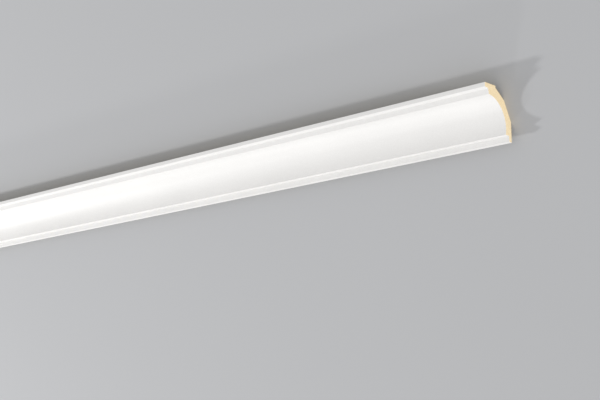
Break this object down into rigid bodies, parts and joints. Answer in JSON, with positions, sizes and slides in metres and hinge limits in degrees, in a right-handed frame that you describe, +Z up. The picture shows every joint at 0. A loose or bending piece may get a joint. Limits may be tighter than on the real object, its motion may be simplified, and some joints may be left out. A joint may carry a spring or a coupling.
{
  "type": "cornice moulding",
  "caption": "Straight length of cove cornice moulding in primed rigid foam, with a fillet above and below the hollow, flat glue faces and square sawn ends.",
  "frame": {"origin": "centre of the footprint, at the level of the floor it lies on", "axes": "+X along the length, towards the sawn end the picture shows; +Z up with the moulding lying on the lower slanted facet of its back; +Y towards the edge that meets the ceiling"},
  "size_m": [2, 0.1012, 0.0364],
  "materials": {
    "primed_foam": "factory primer, smooth matt white"
  },
  "bodies": {
    "root": {"cornice_moulding": "primed_foam"}
  },
  "joints": []
}
